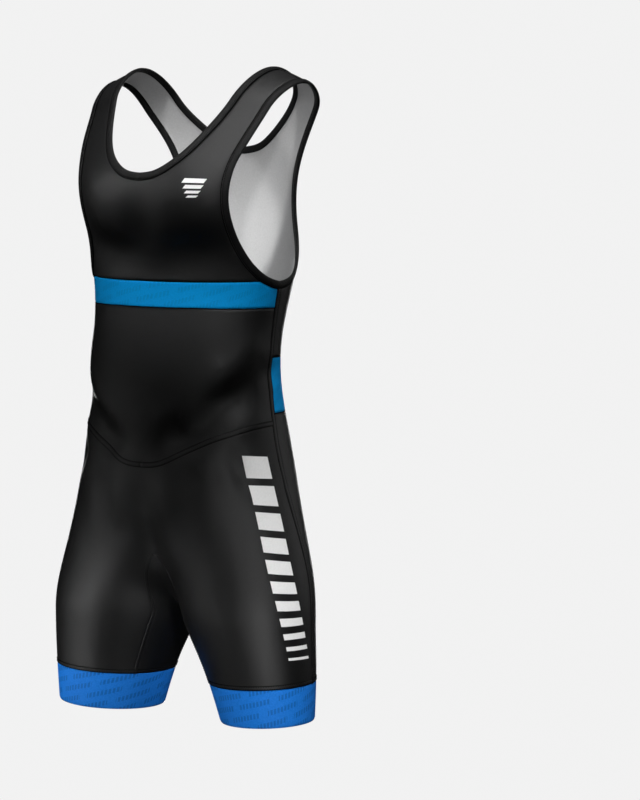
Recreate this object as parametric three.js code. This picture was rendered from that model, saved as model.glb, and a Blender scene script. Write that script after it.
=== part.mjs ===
// Wrestling singlet, worn and filled out, with no wearer in it.
// Millimetres, +Z up, the front faces -Y, the wearer's left is +X.
// The origin is midway between the tops of the two shoulder straps.

import * as THREE from 'three';

// Cloth and seams
const WALL = 1.6;
const SEAM_GAP = 0.3;
const BINDING = { width: 8, wall: 1.0, gap: 0.3 };

// The filled-out form, measured down the body from the top of the straps
const STRAP_CURVE = 44;
const STRAP_RUN = STRAP_CURVE * Math.PI / 2;
const STRAP_INNER = 105;
const SHOULDER_SLOPE = { fall: 0.00157, run: 200 };
const HIP = 555;
const CROTCH = 739;
const LEG_TURN = THREE.MathUtils.degToRad(35);
const BRIDGE = { low: 5, lowRun: 60, high: 28, highRun: 110 };

const TORSO = table(['down', 'half', 'front', 'side', 'back', 'round'], [
  [0, 184, -54, 0, 60, 2.5],
  [66, 184, -84, -8, 70, 2.4],
  [120, 178, -127, -26, 82, 2.2],
  [165, 168, -153, -36, 86, 2.1],
  [220, 156, -147, -41, 82, 2.1],
  [300, 143, -118, -43, 60, 2.2],
  [370, 134, -138, -46, 34, 2.2],
  [430, 132, -155, -47, 36, 2.2],
  [500, 140, -153, -47, 54, 2.2],
  [570, 154, -157, -48, 58, 2.2],
  [640, 165, -151, -49, 55, 2.2],
  [720, 170, -136, -50, 52, 2.2],
  [800, 172, -128, -50, 40, 2.2],
]);

const LEG = table(['down', 'centre', 'long', 'short'], [
  [585, 88, 95, 88],
  [665, 91, 100, 92],
  [739, 98, 97, 84],
  [795, 112, 85, 73],
  [875, 126, 70, 59],
]);
const LEG_MIDDLE = -50;

// Edges and seams, as places round the body (0 centre front, 0.5 side, 1 centre back) and down it
const NECK_FRONT = [
  [0, 162], [0.034, 159.5], [0.065, 151], [0.094, 136], [0.12, 110],
  [0.138, 80], [0.15, 50], [0.158, 25], [0.165, 0],
];
const NECK_BACK = [
  [1, 134], [0.965, 130], [0.934, 119], [0.902, 102], [0.87, 80],
  [0.848, 55], [0.837, 28], [0.835, 0],
];
const ARMHOLE_FRONT = [
  [0.289, 0], [0.272, 33], [0.26, 55], [0.25, 86], [0.246, 119], [0.243, 145],
  [0.244, 170], [0.248, 195], [0.258, 219], [0.28, 247], [0.325, 273], [0.398, 291],
  [0.492, 299],
];
const ARMHOLE_BACK = [
  [0.492, 299], [0.575, 293], [0.655, 276], [0.725, 250], [0.775, 224], [0.803, 198], [0.812, 172],
  [0.806, 143], [0.788, 114], [0.76, 83], [0.736, 57], [0.722, 30], [0.711, 0],
];
const CHEST_BAND = { top: 299, bottom: 332 };
const BACK_BAND = { top: 396, sag: 6, bottom: 468 };
const WAIST_SEAM = table(['share', 'down'], [
  [-0.12, 528], [0, 532], [0.12, 528], [0.22, 517.5], [0.33, 507.5], [0.47, 497], [0.62, 489],
  [0.8, 482.5], [1, 480],
]);
const SIDE_SEAM = { place: 0.492, shift: 0.045, from: 500, run: 190 };
const GUSSET_FRONT = table(['down', 'place'], [
  [655, 0], [683, 0.046], [708, 0.082], [732, 0.103], [770, 0.11], [830, 0.112],
]);
const GUSSET_BACK = table(['down', 'place'], [
  [724, 0], [729, 0.04], [738, 0.066], [755, 0.07], [785, 0.06], [830, 0.048],
]);
const GUSSET_TIP = 655;
const GUSSET_TOP_BACK = 724;
const HEM = { down: 868, tilt: 4, band: 50 };

// Mesh counts
const UPPER_COLUMNS = 9;
const LOWER_COLUMNS = 13;
const FRONT_ROWS = { neck: 14, centre: 6, low: 3 };
const BACK_ROWS = { neck: 13, centre: 12, arm: 19, side: 6 };
const LEG_COLUMNS = 34;

const COLOURS = {
  black_knit: { color: 0x1b1b1d, roughness: 0.78 },
  blue_band: { color: 0x1486c4, roughness: 0.7 },
  blue_gripper: { color: 0x1f6fc0, roughness: 0.66 },
  black_binding: { color: 0x101011, roughness: 0.7 },
};

// A smooth curve through the rows of a table, one function for each named column
function table(names, rows) {
  const xs = rows.map((row) => row[0]);
  const columns = {};
  for (let k = 1; k < names.length; k += 1) {
    columns[names[k]] = spline(xs, rows.map((row) => row[k]));
  }
  return columns;
}

// Natural cubic spline, held at its end values outside the rows
function spline(xs, ys) {
  const last = xs.length - 1;
  const step = xs.slice(1).map((x, i) => x - xs[i]);
  const slope = step.map((h, i) => (ys[i + 1] - ys[i]) / h);
  const bend = new Array(last + 1).fill(0);
  const upper = new Array(last + 1).fill(0);
  const right = new Array(last + 1).fill(0);
  for (let i = 1; i < last; i += 1) {
    const pivot = 2 * (step[i - 1] + step[i]) - step[i - 1] * upper[i - 1];
    upper[i] = step[i] / pivot;
    right[i] = (6 * (slope[i] - slope[i - 1]) - step[i - 1] * right[i - 1]) / pivot;
  }
  for (let i = last - 1; i > 0; i -= 1) bend[i] = right[i] - upper[i] * bend[i + 1];
  return (at) => {
    const x = Math.min(Math.max(at, xs[0]), xs[last]);
    let i = 0;
    while (i < last - 1 && x > xs[i + 1]) i += 1;
    const h = step[i];
    const a = xs[i + 1] - x;
    const b = x - xs[i];
    const cubic = (bend[i] * a ** 3 + bend[i + 1] * b ** 3) / (6 * h);
    return cubic + (ys[i] / h - bend[i] * h / 6) * a + (ys[i + 1] / h - bend[i + 1] * h / 6) * b;
  };
}

function clamp(value) {
  return Math.min(Math.max(value, 0), 1);
}

function smooth(value) {
  const x = clamp(value);
  return x * x * (3 - 2 * x);
}

function mix(a, b, share) {
  return share === 1 ? b : a + (b - a) * share;
}

// Height of a ring: over the strap's curve first, then straight down
function height(down) {
  if (down >= STRAP_RUN) return STRAP_RUN - STRAP_CURVE - down;
  return -STRAP_CURVE * (1 - Math.cos(down / STRAP_CURVE));
}

// One ring of the torso, a rounded section that closes to the shoulder line at the top
function torso(place, down) {
  const turn = place * Math.PI;
  const open = Math.sin(clamp(down / STRAP_RUN) * Math.PI / 2);
  const power = 2 / TORSO.round(down);
  const across = Math.abs(Math.sin(turn)) ** power;
  const along = Math.abs(Math.cos(turn)) ** power;
  const side = TORSO.side(down);
  const end = Math.cos(turn) > 0 ? TORSO.front(down) : TORSO.back(down);
  return new THREE.Vector2(TORSO.half(down) * across, open * (side + (end - side) * along));
}

// One ring of the left leg, an oval turned outwards, joined to the right one above the crotch
function leg(place, down) {
  const [c, s] = [Math.cos(LEG_TURN), Math.sin(LEG_TURN)];
  const [long, short, centre] = [LEG.long(down), LEG.short(down), LEG.centre(down)];
  const xx = long * c * c + short * s * s;
  const yy = long * s * s + short * c * c;
  const xy = (short - long) * c * s;
  const reach = Math.hypot(xx, xy);
  const lag = Math.atan2(-xy, xx);
  const high = BRIDGE.high * smooth((CROTCH - down) / BRIDGE.highRun);
  const bridge = high + BRIDGE.low * smooth((CROTCH + BRIDGE.lowRun - down) / BRIDGE.lowRun);
  const joined = Math.PI / 2 - Math.asin(Math.min((centre - bridge) / reach, 1));
  const nearness = Math.min(2.6 / Math.max(joined, 0.01), 12);
  const nearFront = clamp(1 - 2 * place) ** nearness;
  const nearBack = clamp(2 * place - 1) ** nearness;
  const turn = 2 * Math.PI * place - Math.PI / 2 - lag + joined * (nearFront - nearBack);
  const x = centre + xx * Math.sin(turn) - xy * Math.cos(turn);
  const y = LEG_MIDDLE + xy * Math.sin(turn) - yy * Math.cos(turn);
  return new THREE.Vector2(Math.sqrt(Math.max(x * x - bridge * bridge, 0)), y);
}

// A point of the outer face on the wearer's left half
function body(place, down) {
  const torsoPart = torso(place, Math.min(down, 785));
  const legPart = leg(place, Math.max(down, HIP));
  const share = smooth((down - HIP) / (CROTCH - HIP));
  const flat = torsoPart.lerp(legPart, share);
  const level = 1 - smooth(down / SHOULDER_SLOPE.run);
  const fall = SHOULDER_SLOPE.fall * (flat.x ** 2 - STRAP_INNER ** 2) * level;
  return new THREE.Vector3(flat.x, flat.y, height(down) - fall);
}

// Where the side seam runs: it moves back a little on the leg
function sideSeam(down) {
  return SIDE_SEAM.place + SIDE_SEAM.shift * smooth((down - SIDE_SEAM.from) / SIDE_SEAM.run);
}

function hemLine(place) {
  return HEM.down + HEM.tilt * Math.cos(2 * Math.PI * place);
}

function bandTop(place) {
  return hemLine(place) - HEM.band;
}

// An edge through its listed points, as a function of the share of its length
function edge(points) {
  const roundLength = 900;
  const run = [0];
  for (let i = 1; i < points.length; i += 1) {
    const across = (points[i][0] - points[i - 1][0]) * roundLength / 2;
    run.push(run[i - 1] + Math.hypot(across, points[i][1] - points[i - 1][1]));
  }
  const place = spline(run, points.map((point) => point[0]));
  const down = spline(run, points.map((point) => point[1]));
  return (share) => [place(share * run.at(-1)), down(share * run.at(-1))];
}

// The two directions of the surface at a place: round the body and down it
function directions(place, down) {
  const small = 0.001;
  const [before, after] = [Math.max(place - small, 0), Math.min(place + small, 1)];
  const [above, below] = [Math.max(down - 0.5, 0), down + 0.5];
  const round = body(after, down).sub(body(before, down)).divideScalar(after - before);
  const low = body(place, below).sub(body(place, above)).divideScalar(below - above);
  return { round, low };
}

// The way the outer face looks; on the centre line it has no sideways part
function facing(place, down) {
  const onCentre = (place === 0 || place === 1) && down <= CROTCH;
  if (!onCentre) {
    const { round, low } = directions(place, down);
    return low.cross(round).normalize();
  }
  const across = new THREE.Vector3(place === 0 ? 1 : -1, 0, 0);
  const low = body(place, down).sub(body(place, down - 1));
  return low.cross(across).normalize();
}

// The place on the surface that lies a distance to the left of an edge, seen from outside
function beside(line, share, distance) {
  const small = 0.002;
  const [place, down] = line(share);
  const ahead = body(...line(Math.min(share + small, 1)));
  const along = ahead.sub(body(...line(Math.max(share - small, 0)))).normalize();
  const { round, low } = directions(place, down);
  const inward = facing(place, down).cross(along).multiplyScalar(distance);
  const a = round.dot(round);
  const b = round.dot(low);
  const c = low.dot(low);
  const p = inward.dot(round);
  const q = inward.dot(low);
  const size = a * c - b * b;
  return [place + (p * c - q * b) / size, Math.max(down + (a * q - b * p) / size, 0)];
}

// A grid of points: at(i, j) gives the place and the distance down at row i, column j
function grid(rows, columns, at) {
  const piece = { points: [], facings: [], quads: [] };
  for (let i = 0; i <= rows; i += 1) {
    for (let j = 0; j <= columns; j += 1) {
      const [place, down] = at(i, j);
      piece.points.push(body(place, down));
      piece.facings.push(facing(place, down));
    }
  }
  for (let i = 0; i < rows; i += 1) {
    for (let j = 0; j < columns; j += 1) {
      const k = i * (columns + 1) + j;
      piece.quads.push([k, k + columns + 1, k + columns + 2, k + 1]);
    }
  }
  return piece;
}

function flipped(vector) {
  return new THREE.Vector3(-vector.x, vector.y, vector.z);
}

// The right half of a piece from its left half
function mirrored(piece) {
  return {
    points: piece.points.map(flipped),
    facings: piece.facings.map(flipped),
    quads: piece.quads.map(([first, ...rest]) => [first, ...rest.reverse()]),
  };
}

// Grids joined where their points meet
function joined(...pieces) {
  const all = { points: [], facings: [], quads: [] };
  const known = new Map();
  for (const piece of pieces) {
    const index = piece.points.map((point, k) => {
      const key = point.toArray().map((value) => Math.round(value * 500)).join(' ');
      if (!known.has(key)) {
        known.set(key, all.points.push(point) - 1);
        all.facings.push(piece.facings[k]);
      }
      return known.get(key);
    });
    for (const quad of piece.quads) {
      const corners = quad.map((k) => index[k]);
      const distinct = corners.filter((k, i) => k !== corners[(i + 1) % corners.length]);
      if (distinct.length > 2) all.quads.push(distinct);
    }
  }
  return all;
}

function triangles(quads) {
  return quads.flatMap(([a, b, c, d]) => (d === undefined ? [[a, b, c]] : [[a, b, c], [a, c, d]]));
}

// The open edges of a piece, each running with the cloth on its left
function openEdges(piece) {
  const used = new Set();
  for (const quad of piece.quads) {
    quad.forEach((k, i) => used.add(`${k} ${quad[(i + 1) % quad.length]}`));
  }
  const open = [];
  for (const pair of used) {
    const [a, b] = pair.split(' ').map(Number);
    if (!used.has(`${b} ${a}`)) open.push([a, b]);
  }
  return open;
}

// The piece drawn in all round by half the seam's gap
function drawnIn(piece) {
  const shift = new Map();
  for (const [a, b] of openEdges(piece)) {
    const along = new THREE.Vector3().subVectors(piece.points[b], piece.points[a]).normalize();
    for (const k of [a, b]) {
      const inward = new THREE.Vector3().crossVectors(piece.facings[k], along).normalize();
      shift.set(k, [...(shift.get(k) ?? []), inward]);
    }
  }
  const points = piece.points.map((p) => p.clone());
  for (const [k, [first, second]] of shift) {
    const half = first.clone().add(second);
    const length = Math.max(half.lengthSq() / 2, 0.6);
    points[k].addScaledVector(half, SEAM_GAP / 2 / length);
  }
  return { ...piece, points };
}

// A closed wall with its outer face on the form
function wall(piece) {
  const count = piece.points.length;
  const upper = piece.points;
  const lower = upper.map((point, k) => point.clone().addScaledVector(piece.facings[k], -WALL));
  const faces = triangles(piece.quads);
  const below = faces.map(([a, b, c]) => [a + count, c + count, b + count]);
  const rim = openEdges(piece).flatMap(([a, b]) => [[b, a, a + count], [b, a + count, b + count]]);
  return mesh([...upper, ...lower], [...faces, ...below, ...rim]);
}

function mesh(points, faces) {
  const geometry = new THREE.BufferGeometry();
  geometry.setAttribute('position', new THREE.Float32BufferAttribute(points.flatMap((p) => p.toArray()), 3));
  geometry.setIndex(faces.flat());
  geometry.computeVertexNormals();
  return geometry;
}

function node(name, colour, geometry) {
  const material = new THREE.MeshStandardMaterial({ ...COLOURS[colour], metalness: 0 });
  const item = new THREE.Mesh(geometry, material);
  item.name = name;
  return item;
}

function panel(piece) {
  return wall(drawnIn(piece));
}

// The edges of the upper panels, from the shoulder down, and the line at a strip's width inside each
const STRIP = BINDING.width + 1;

function shares(count) {
  return Array.from({ length: count + 1 }, (_, i) => i / count);
}

function withStrip(points, count, distance, low) {
  const line = edge(points);
  const outer = shares(count).map((share) => line(share));
  const inner = shares(count).map((share) => beside(line, share, distance));
  inner[0][1] = 0;
  inner[count] = [low, outer[count][1] + STRIP];
  return { outer, inner };
}

const armRowsFront = FRONT_ROWS.neck + FRONT_ROWS.centre + FRONT_ROWS.low;
const neckFront = withStrip([...NECK_FRONT].reverse(), FRONT_ROWS.neck, STRIP, 0);
const neckBack = withStrip([...NECK_BACK].reverse(), BACK_ROWS.neck, -STRIP, 1);
const armFront = withStrip(ARMHOLE_FRONT, armRowsFront, -STRIP, SIDE_SEAM.place);
const armBack = withStrip([...ARMHOLE_BACK].reverse(), BACK_ROWS.arm, STRIP, SIDE_SEAM.place);

// A grid between two lines, the first of them nearer the centre front
function between(first, second, columns) {
  return grid(first.length - 1, columns, (i, j) => [
    mix(first[i][0], second[i][0], j / columns), mix(first[i][1], second[i][1], j / columns),
  ]);
}

function straight(from, to, count) {
  return shares(count).map((share) => [mix(from[0], to[0], share), mix(from[1], to[1], share)]);
}

// Where the chest band's top edge meets the strip under the armhole
const meet = armFront.inner[FRONT_ROWS.neck + FRONT_ROWS.centre];

function whole(...halves) {
  const half = joined(...halves);
  return joined(half, mirrored(half));
}

function frontUpper() {
  const centre = straight(neckFront.inner.at(-1), [0, CHEST_BAND.top], FRONT_ROWS.centre);
  const inside = [...neckFront.inner, ...centre.slice(1)];
  const outside = armFront.inner.slice(0, inside.length);
  return whole(
    between(neckFront.outer, neckFront.inner, 1),
    between(inside, outside, UPPER_COLUMNS),
    between(armFront.inner, armFront.outer, 1),
  );
}

// The waist band's top edge, from the side seam to the centre back
function backBandTop(share) {
  return BACK_BAND.top + BACK_BAND.sag * Math.sin(share * Math.PI / 2) ** 2;
}

function backUpper() {
  const centre = straight(neckBack.inner.at(-1), [1, backBandTop(1)], BACK_ROWS.centre);
  const side = straight(armBack.inner.at(-1), [SIDE_SEAM.place, BACK_BAND.top], BACK_ROWS.side);
  const inside = [...neckBack.inner, ...centre.slice(1)];
  const outside = [...armBack.inner, ...side.slice(1)];
  const last = inside.length - 1;
  const cloth = grid(last, UPPER_COLUMNS, (i, j) => {
    const share = j / UPPER_COLUMNS;
    const straightFoot = mix(outside[last][1], inside[last][1], share);
    const sag = (backBandTop(share) - straightFoot) * (i / last) ** 3;
    return [mix(outside[i][0], inside[i][0], share), mix(outside[i][1], inside[i][1], share) + sag];
  });
  return whole(
    between(armBack.outer, armBack.inner, 1),
    cloth,
    between(neckBack.inner, neckBack.outer, 1),
  );
}

function chestBand() {
  const top = straight([0, CHEST_BAND.top], meet, UPPER_COLUMNS);
  const under = armFront.inner.slice(FRONT_ROWS.neck + FRONT_ROWS.centre + 1);
  const line = [...top, ...under];
  const rows = 3;
  return whole(grid(rows, line.length - 1, (i, j) => [
    line[j][0], mix(line[j][1], CHEST_BAND.bottom, i / rows),
  ]));
}

// Rows between two edges, each a function of the share of the way from the centre line to the side
function frontRows(rows, columns, top, bottom) {
  return grid(rows, columns, (i, j) => {
    const share = j / columns;
    const down = mix(top(share), bottom(share), i / rows);
    return [sideSeam(down) * opening(share, down), down];
  });
}

function backRows(rows, columns, top, bottom) {
  return grid(rows, columns, (i, j) => {
    const share = 1 - j / columns;
    const down = mix(top(share), bottom(share), i / rows);
    return [1 - (1 - sideSeam(down)) * opening(share, down), down];
  });
}

// Columns are closer together at the centre line where the legs' rings join
function opening(share, down) {
  const tight = 0.8 * smooth((down - 560) / 90);
  return share * (1 - tight * (1 - share) ** 4);
}

function frontLower() {
  return whole(frontRows(9, LOWER_COLUMNS, () => CHEST_BAND.bottom, WAIST_SEAM.down));
}

function backBand() {
  const rows = 4;
  return whole(grid(rows, UPPER_COLUMNS, (i, j) => {
    const share = j / UPPER_COLUMNS;
    return [mix(SIDE_SEAM.place, 1, share), mix(backBandTop(share), BACK_BAND.bottom, i / rows)];
  }));
}

// The gusset's seams: how far down each row starts, and where it lies round the leg
const GUSSET_ROWS = 11;

function gussetSeam(tip, place, sign, share) {
  const end = place(HEM.down - HEM.band);
  const down = mix(tip, bandTop(end), share);
  const at = place(down);
  return [sign > 0 ? at : 1 - at, down];
}

function gussetRow(i) {
  return (i / GUSSET_ROWS) ** 1.35;
}

function frontShorts() {
  const above = frontRows(8, LOWER_COLUMNS, WAIST_SEAM.down, () => GUSSET_TIP);
  const below = grid(GUSSET_ROWS, LOWER_COLUMNS, (i, j) => {
    const share = gussetRow(i);
    const [seam, seamDown] = gussetSeam(GUSSET_TIP, GUSSET_FRONT.place, 1, share);
    const across = opening(j / LOWER_COLUMNS, mix(seamDown, 560, smooth(share * 4)));
    const foot = bandTop(mix(GUSSET_FRONT.place(900), sideSeam(900), j / LOWER_COLUMNS));
    const down = mix(GUSSET_TIP, foot, share);
    return [mix(seam, sideSeam(down), across), mix(seamDown, down, smooth(j / 2))];
  });
  return whole(above, below);
}

function backLower() {
  const above = backRows(11, LOWER_COLUMNS, () => BACK_BAND.bottom, () => GUSSET_TOP_BACK);
  const below = grid(GUSSET_ROWS, LOWER_COLUMNS, (i, j) => {
    const share = gussetRow(i);
    const side = 1 - j / LOWER_COLUMNS;
    const [seam, seamDown] = gussetSeam(GUSSET_TOP_BACK, GUSSET_BACK.place, -1, share);
    const across = opening(side, mix(seamDown, 560, smooth(share * 4)));
    const foot = bandTop(mix(1 - GUSSET_BACK.place(900), sideSeam(900), side));
    const down = mix(GUSSET_TOP_BACK, foot, share);
    return [mix(seam, sideSeam(down), across), mix(seamDown, down, smooth(side * LOWER_COLUMNS / 2))];
  });
  return whole(above, below);
}

// The gusset runs from leg to leg through the crotch, with a tongue up the front
function innerGusset() {
  const half = 5;
  return whole(grid(GUSSET_ROWS, 2 * half, (i, j) => {
    const share = gussetRow(i);
    const across = (j - half) / half;
    const front = gussetSeam(GUSSET_TIP, GUSSET_FRONT.place, 1, share);
    const back = gussetSeam(GUSSET_TOP_BACK, GUSSET_BACK.place, -1, share);
    const middle = mix(CROTCH, hemLine(0) - HEM.band, share);
    const end = across < 0 ? back : front;
    const part = Math.abs(across);
    const place = across < 0 ? 1 - (1 - back[0]) * part : front[0] * part;
    return [place, mix(middle, end[1], smooth(part))];
  }));
}

function hemBand() {
  const rows = 3;
  return joined(grid(rows, LEG_COLUMNS, (i, j) => {
    const place = j / LEG_COLUMNS;
    return [place, mix(bandTop(place), hemLine(place), i / rows)];
  }));
}

// A folded tape over an edge: its section is a U, given as distance in from the edge and height
function binding(edgeLine, insideLine, closed) {
  const { width, gap } = BINDING;
  const thick = BINDING.wall + gap;
  const section = [
    [width, thick], [-thick, thick], [-thick, -WALL - thick], [width, -WALL - thick],
    [width, -WALL - gap], [-gap, -WALL - gap], [-gap, gap], [width, gap],
  ];
  const piece = { points: [], facings: [], quads: [] };
  edgeLine.forEach((at, k) => {
    const point = body(...at);
    const face = facing(...at);
    const inward = body(...insideLine[k]).sub(point).normalize();
    for (const [distance, lift] of section) {
      piece.points.push(point.clone().addScaledVector(inward, distance).addScaledVector(face, lift));
      piece.facings.push(face);
    }
  });
  const count = edgeLine.length;
  const size = section.length;
  for (let k = 0; k < (closed ? count : count - 1); k += 1) {
    for (let i = 0; i < size; i += 1) {
      const near = k * size;
      const far = ((k + 1) % count) * size;
      const j = (i + 1) % size;
      // Each face is cut from its inside corner here to its edge corner ahead, as the panel's strip is
      const quad = [near + i, far + i, far + j, near + j];
      piece.quads.push(section[i][0] < section[j][0] ? [quad[3], ...quad.slice(0, 3)] : quad);
    }
  }
  return piece;
}

function neckBinding() {
  const loop = (front, back) => [...[...front].reverse(), ...back.slice(1)];
  const edgeLine = loop(neckFront.outer, neckBack.outer);
  return whole(binding(edgeLine, loop(neckFront.inner, neckBack.inner), false));
}

function armholeBinding() {
  const loop = (front, back) => [...front, ...[...back].reverse().slice(1, -1)];
  const edgeLine = loop(armFront.outer, armBack.outer);
  return binding(edgeLine, loop(armFront.inner, armBack.inner), true);
}

function tape(piece) {
  return mesh(piece.points, triangles(piece.quads));
}

const singlet = new THREE.Group();
singlet.add(
  node('front_upper', 'black_knit', panel(frontUpper())),
  node('chest_band', 'blue_band', panel(chestBand())),
  node('front_lower', 'black_knit', panel(frontLower())),
  node('front_shorts', 'black_knit', panel(frontShorts())),
  node('back_upper', 'black_knit', panel(backUpper())),
  node('back_band', 'blue_band', panel(backBand())),
  node('back_lower', 'black_knit', panel(backLower())),
  node('inner_gusset', 'black_knit', panel(innerGusset())),
  node('hem_band_left', 'blue_gripper', panel(hemBand())),
  node('hem_band_right', 'blue_gripper', panel(mirrored(hemBand()))),
  node('neck_binding', 'black_binding', tape(neckBinding())),
  node('armhole_binding_left', 'black_binding', tape(armholeBinding())),
  node('armhole_binding_right', 'black_binding', tape(mirrored(armholeBinding()))),
);

export default singlet;
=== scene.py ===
# Wrestling singlet, worn and filled out, with no wearer in it.
# The form and its edges are the same as in the part's source: millimetres, +Z up, the front
# faces -Y, the wearer's left is +X, and the origin is midway between the tops of the straps.
# A place on the cloth is given round the body (0 centre front, 0.5 side, 1 centre back) and
# down it; side is +1 on the wearer's left and -1 on the right.

import math

import bmesh
import bpy
import numpy as np
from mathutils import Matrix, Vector
from mathutils.kdtree import KDTree


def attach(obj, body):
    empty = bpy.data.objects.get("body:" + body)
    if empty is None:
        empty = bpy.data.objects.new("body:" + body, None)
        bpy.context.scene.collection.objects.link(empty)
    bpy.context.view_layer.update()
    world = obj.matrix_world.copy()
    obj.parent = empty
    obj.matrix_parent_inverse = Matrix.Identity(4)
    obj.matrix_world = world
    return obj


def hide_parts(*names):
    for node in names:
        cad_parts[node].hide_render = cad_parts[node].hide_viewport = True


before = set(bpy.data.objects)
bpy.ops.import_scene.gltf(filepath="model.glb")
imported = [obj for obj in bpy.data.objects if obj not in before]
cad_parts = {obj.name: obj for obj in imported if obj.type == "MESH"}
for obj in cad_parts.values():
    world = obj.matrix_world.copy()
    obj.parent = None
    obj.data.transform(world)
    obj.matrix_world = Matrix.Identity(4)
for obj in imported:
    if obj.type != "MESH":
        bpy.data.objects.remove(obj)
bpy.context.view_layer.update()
MM = 0.001

# Form

STRAP_CURVE = 44
STRAP_RUN = STRAP_CURVE * math.pi / 2
STRAP_INNER = 105
SHOULDER_FALL = 0.00157
SHOULDER_RUN = 200
HIP = 555
CROTCH = 739
LEG_TURN = math.radians(35)
LEG_MIDDLE = -50
BRIDGE_LOW, BRIDGE_LOW_RUN = 5, 60
BRIDGE_HIGH, BRIDGE_HIGH_RUN = 28, 110
JOIN_SHARPNESS, JOIN_LIMIT = 2.6, 12
TORSO_END = 785
PLACE_STEP, DOWN_STEP = 0.001, 0.5
TIGHTNESS, TIGHT_POWER, TIGHT_FROM, TIGHT_RUN = 0.8, 4, 560, 90


def spline(xs, ys):
    """Natural cubic spline, held at its end values outside the rows."""
    xs, ys = np.asarray(xs, float), np.asarray(ys, float)
    last = len(xs) - 1
    step = np.diff(xs)
    slope = np.diff(ys) / step
    system = np.eye(last + 1)
    right = np.zeros(last + 1)
    for i in range(1, last):
        system[i, i - 1:i + 2] = step[i - 1], 2 * (step[i - 1] + step[i]), step[i]
        right[i] = 6 * (slope[i] - slope[i - 1])
    bend = np.linalg.solve(system, right)

    def at(x):
        x = np.clip(x, xs[0], xs[-1])
        i = np.clip(np.searchsorted(xs, x, side="right") - 1, 0, last - 1)
        h, a, b = step[i], xs[i + 1] - x, x - xs[i]
        cubic = (bend[i] * a ** 3 + bend[i + 1] * b ** 3) / (6 * h)
        first = (ys[i] / h - bend[i] * h / 6) * a
        return cubic + first + (ys[i + 1] / h - bend[i + 1] * h / 6) * b

    return at


def table(names, rows):
    """A smooth curve through the rows, one function for each column after the first."""
    columns = list(zip(*rows))
    return {name: spline(columns[0], column) for name, column in zip(names[1:], columns[1:])}


TORSO = table(("down", "half", "front", "side", "back", "round"), [
    (0, 184, -54, 0, 60, 2.5),
    (66, 184, -84, -8, 70, 2.4),
    (120, 178, -127, -26, 82, 2.2),
    (165, 168, -153, -36, 86, 2.1),
    (220, 156, -147, -41, 82, 2.1),
    (300, 143, -118, -43, 60, 2.2),
    (370, 134, -138, -46, 34, 2.2),
    (430, 132, -155, -47, 36, 2.2),
    (500, 140, -153, -47, 54, 2.2),
    (570, 154, -157, -48, 58, 2.2),
    (640, 165, -151, -49, 55, 2.2),
    (720, 170, -136, -50, 52, 2.2),
    (800, 172, -128, -50, 40, 2.2),
])
LEG = table(("down", "centre", "long", "short"), [
    (585, 88, 95, 88),
    (665, 91, 100, 92),
    (739, 98, 97, 84),
    (795, 112, 85, 73),
    (875, 126, 70, 59),
])
NECK_FRONT = [
    (0, 162), (0.034, 159.5), (0.065, 151), (0.094, 136), (0.12, 110),
    (0.138, 80), (0.15, 50), (0.158, 25), (0.165, 0),
]
NECK_BACK = [
    (1, 134), (0.965, 130), (0.934, 119), (0.902, 102), (0.87, 80),
    (0.848, 55), (0.837, 28), (0.835, 0),
]
ARMHOLE_FRONT = [
    (0.289, 0), (0.272, 33), (0.26, 55), (0.25, 86), (0.246, 119), (0.243, 145),
    (0.244, 170), (0.248, 195), (0.258, 219), (0.28, 247), (0.325, 273), (0.398, 291),
    (0.492, 299),
]
ARMHOLE_BACK = [
    (0.492, 299), (0.575, 293), (0.655, 276), (0.725, 250), (0.775, 224), (0.803, 198), (0.812, 172),
    (0.806, 143), (0.788, 114), (0.76, 83), (0.736, 57), (0.722, 30), (0.711, 0),
]
CHEST_TOP, CHEST_BOTTOM = 299, 332
BACK_TOP, BACK_SAG, BACK_BOTTOM = 396, 6, 468
WAIST_SEAM = table(("share", "down"), [
    (-0.12, 528), (0, 532), (0.12, 528), (0.22, 517.5), (0.33, 507.5), (0.47, 497), (0.62, 489),
    (0.8, 482.5), (1, 480),
])["down"]
GUSSET_FRONT = table(("down", "place"), [
    (655, 0), (683, 0.046), (708, 0.082), (732, 0.103), (770, 0.11), (830, 0.112),
])["place"]
GUSSET_BACK = table(("down", "place"), [
    (724, 0), (729, 0.04), (738, 0.066), (755, 0.07), (785, 0.06), (830, 0.048),
])["place"]
GUSSET_TIP, GUSSET_TOP_BACK = 655, 724
SIDE_PLACE, SIDE_SHIFT, SIDE_FROM, SIDE_RUN = 0.492, 0.045, 500, 190
HEM_DOWN, HEM_TILT, HEM_BAND = 868, 4, 50


def smooth(x):
    x = np.clip(x, 0, 1)
    return x * x * (3 - 2 * x)


def mix(a, b, share):
    return a + (b - a) * share


def height(down):
    """Over the strap's curve first, then straight down."""
    curve = -STRAP_CURVE * (1 - np.cos(down / STRAP_CURVE))
    return np.where(down >= STRAP_RUN, STRAP_RUN - STRAP_CURVE - down, curve)


def torso(place, down):
    """One ring of the torso, a rounded section that closes to the shoulder line at the top."""
    turn = place * math.pi
    opened = np.sin(np.clip(down / STRAP_RUN, 0, 1) * math.pi / 2)
    power = 2 / TORSO["round"](down)
    across = np.abs(np.sin(turn)) ** power
    along = np.abs(np.cos(turn)) ** power
    side = TORSO["side"](down)
    end = np.where(np.cos(turn) > 0, TORSO["front"](down), TORSO["back"](down))
    return TORSO["half"](down) * across, opened * (side + (end - side) * along)


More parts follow.
